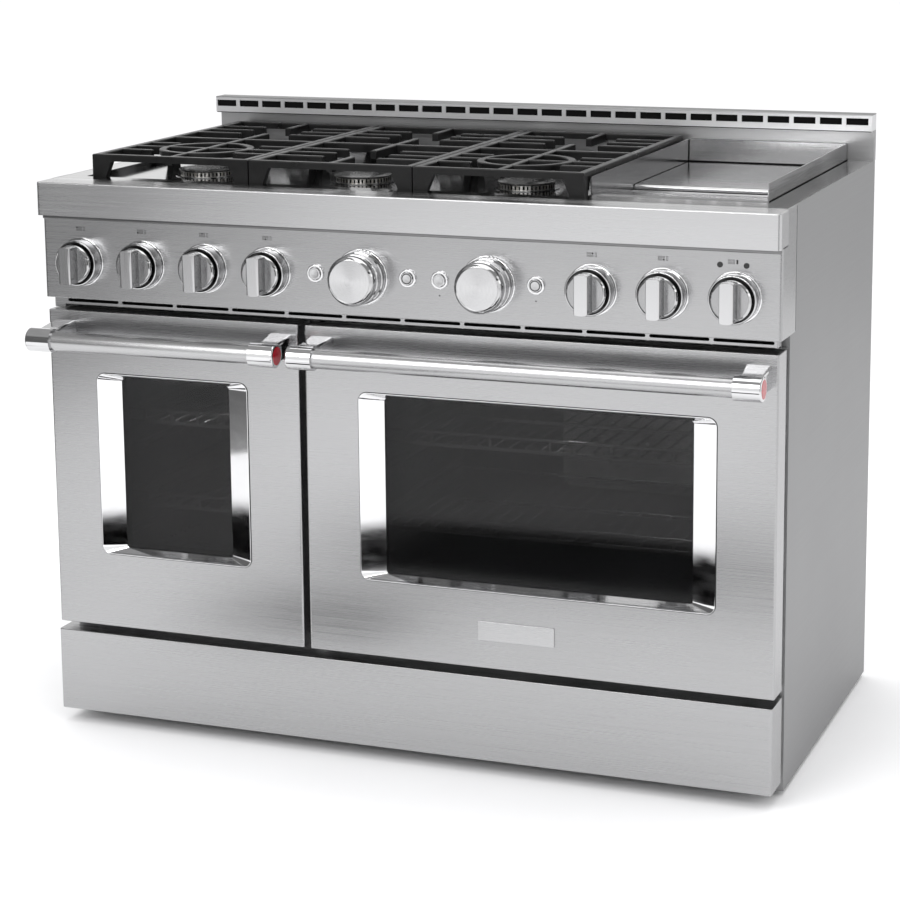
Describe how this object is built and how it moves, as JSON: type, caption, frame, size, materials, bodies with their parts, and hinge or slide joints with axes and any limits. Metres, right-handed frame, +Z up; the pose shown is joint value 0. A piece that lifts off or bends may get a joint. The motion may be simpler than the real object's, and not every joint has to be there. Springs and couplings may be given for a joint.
{
  "type": "freestanding gas range",
  "caption": "Wide stainless gas range with burner grates, a griddle beside them, a small oven and a large oven behind drop-down doors, and a slotted low backguard.",
  "frame": {"origin": "on the floor, under the centre of the whole range's box", "axes": "+X to the right as a cook faces the range, +Y to its back, +Z up"},
  "size_m": [1.216, 0.7454, 0.984],
  "materials": {
    "brushed_steel": "brushed stainless steel, grain along the width",
    "polished_chrome": "polished",
    "turned_steel": "spun face, polished rim",
    "cast_iron": "matte black porcelain on cast iron",
    "black_enamel": "satin black enamel",
    "oven_enamel": "speckled dark vitreous enamel",
    "galvanised_steel": "zinc-coated sheet",
    "burner_alloy": "cast, machined",
    "rack_wire": "bright wire",
    "oven_glass": "dark tinted glass",
    "gasket_braid": "woven glass-fibre sleeve",
    "valve_brass": "plain",
    "red_enamel": "glossy",
    "lamp_lens": "glossy"
  },
  "bodies": {
    "range_body": {"backguard_panel": "brushed_steel", "backguard_vent": "brushed_steel", "base_pan": "galvanised_steel", "burner_caps": "black_enamel", "burner_heads": "burner_alloy", "control_bezels": "polished_chrome", "control_panel": "brushed_steel", "control_panel_ends": "brushed_steel", "cooktop_deck": "brushed_steel", "door_gaskets": "gasket_braid", "fan_cover": "galvanised_steel", "front_frame": "galvanised_steel", "gas_manifold": "valve_brass", "griddle_frame": "brushed_steel", "griddle_plate": "brushed_steel", "hinge_arms": "galvanised_steel", "indicator_lights": "lamp_lens", "kick_panel": "brushed_steel", "left_oven_cavity": "oven_enamel", "levelling_legs": "galvanised_steel", "oven_racks": "rack_wire", "rear_cover": "galvanised_steel", "right_oven_cavity": "oven_enamel", "side_panels": "brushed_steel", "top_trim": "brushed_steel", "tube_burners": "galvanised_steel", "vent_grille": "brushed_steel"},
    "left_door": {"left_door_skin": "brushed_steel", "left_door_liner": "oven_enamel", "left_window_bezel": "polished_chrome", "left_door_glass": "oven_glass", "left_handle_bar": "brushed_steel", "left_handle_brackets": "polished_chrome", "left_handle_medallion": "red_enamel"},
    "right_door": {"right_door_skin": "brushed_steel", "right_door_liner": "oven_enamel", "right_window_bezel": "polished_chrome", "right_door_glass": "oven_glass", "right_handle_bar": "brushed_steel", "right_handle_brackets": "polished_chrome", "right_handle_medallion": "red_enamel", "door_nameplate": "brushed_steel"},
    "burner_knob_1": {"burner_knob_1": "polished_chrome"},
    "burner_knob_2": {"burner_knob_2": "polished_chrome"},
    "burner_knob_3": {"burner_knob_3": "polished_chrome"},
    "burner_knob_4": {"burner_knob_4": "polished_chrome"},
    "burner_knob_5": {"burner_knob_5": "polished_chrome"},
    "burner_knob_6": {"burner_knob_6": "polished_chrome"},
    "griddle_knob": {"griddle_knob": "polished_chrome"},
    "left_oven_knob": {"left_oven_knob": "turned_steel"},
    "right_oven_knob": {"right_oven_knob": "turned_steel"},
    "left_light_button": {"left_light_button": "polished_chrome"},
    "left_start_button": {"left_start_button": "polished_chrome"},
    "right_light_button": {"right_light_button": "polished_chrome"},
    "right_start_button": {"right_start_button": "polished_chrome"},
    "left_grate": {"left_grate": "cast_iron"},
    "middle_grate": {"middle_grate": "cast_iron"},
    "right_grate": {"right_grate": "cast_iron"},
    "grease_tray": {"grease_tray": "brushed_steel"},
    "convection_fan": {"convection_fan": "galvanised_steel"}
  },
  "joints": [
    {"name": "left_door_hinge", "type": "hinge", "parent": "range_body", "child": "left_door", "pos_m": [-0.3827, -0.2654, 0.1905], "axis": [1, 0, 0], "range_deg": [0, 90], "stiffness_Nm_per_rad": 22, "springref_deg": -11.46},
    {"name": "right_door_hinge", "type": "hinge", "parent": "range_body", "child": "right_door", "pos_m": [0.2262, -0.2654, 0.1905], "axis": [1, 0, 0], "range_deg": [0, 90], "stiffness_Nm_per_rad": 34, "springref_deg": -11.46},
    {"name": "burner_knob_1_turn", "type": "hinge", "parent": "range_body", "child": "burner_knob_1", "pos_m": [-0.5385, -0.3, 0.7772], "axis": [0, 1, 0], "range_deg": [-240, 0]},
    {"name": "burner_knob_2_turn", "type": "hinge", "parent": "range_body", "child": "burner_knob_2", "pos_m": [-0.429, -0.3, 0.7772], "axis": [0, 1, 0], "range_deg": [-240, 0]},
    {"name": "burner_knob_3_turn", "type": "hinge", "parent": "range_body", "child": "burner_knob_3", "pos_m": [-0.3195, -0.3, 0.7772], "axis": [0, 1, 0], "range_deg": [-240, 0]},
    {"name": "burner_knob_4_turn", "type": "hinge", "parent": "range_body", "child": "burner_knob_4", "pos_m": [-0.21, -0.3, 0.7772], "axis": [0, 1, 0], "range_deg": [-240, 0]},
    {"name": "burner_knob_5_turn", "type": "hinge", "parent": "range_body", "child": "burner_knob_5", "pos_m": [0.3195, -0.3, 0.7772], "axis": [0, 1, 0], "range_deg": [-240, 0]},
    {"name": "burner_knob_6_turn", "type": "hinge", "parent": "range_body", "child": "burner_knob_6", "pos_m": [0.429, -0.3, 0.7772], "axis": [0, 1, 0], "range_deg": [-240, 0]},
    {"name": "griddle_knob_turn", "type": "hinge", "parent": "range_body", "child": "griddle_knob", "pos_m": [0.5385, -0.3, 0.7772], "axis": [0, 1, 0], "range_deg": [-270, 0]},
    {"name": "left_oven_knob_turn", "type": "hinge", "parent": "range_body", "child": "left_oven_knob", "pos_m": [-0.0515, -0.31, 0.7772], "axis": [0, 1, 0], "range_deg": [0, 290]},
    {"name": "right_oven_knob_turn", "type": "hinge", "parent": "range_body", "child": "right_oven_knob", "pos_m": [0.1553, -0.31, 0.7772], "axis": [0, 1, 0], "range_deg": [0, 290]},
    {"name": "left_light_button_press", "type": "slide", "parent": "range_body", "child": "left_light_button", "axis": [0, 1, 0], "range_m": [0, 0.002], "stiffness_N_per_m": 600, "springref_m": -0.002},
    {"name": "left_start_button_press", "type": "slide", "parent": "range_body", "child": "left_start_button", "axis": [0, 1, 0], "range_m": [0, 0.002], "stiffness_N_per_m": 600, "springref_m": -0.002},
    {"name": "right_light_button_press", "type": "slide", "parent": "range_body", "child": "right_light_button", "axis": [0, 1, 0], "range_m": [0, 0.002], "stiffness_N_per_m": 600, "springref_m": -0.002},
    {"name": "right_start_button_press", "type": "slide", "parent": "range_body", "child": "right_start_button", "axis": [0, 1, 0], "range_m": [0, 0.002], "stiffness_N_per_m": 600, "springref_m": -0.002},
    {"name": "left_grate_lift", "type": "slide", "parent": "range_body", "child": "left_grate", "axis": [0, 0, 1], "range_m": [0, 0.12]},
    {"name": "middle_grate_lift", "type": "slide", "parent": "range_body", "child": "middle_grate", "axis": [0, 0, 1], "range_m": [0, 0.12]},
    {"name": "right_grate_lift", "type": "slide", "parent": "range_body", "child": "right_grate", "axis": [0, 0, 1], "range_m": [0, 0.12]},
    {"name": "grease_tray_lift", "type": "slide", "parent": "range_body", "child": "grease_tray", "axis": [0, 0, 1], "range_m": [0, 0.08]},
    {"name": "convection_fan_spin", "type": "hinge", "parent": "range_body", "child": "convection_fan", "pos_m": [0.226, 0.25, 0.44], "axis": [0, 1, 0], "continuous": true}
  ]
}
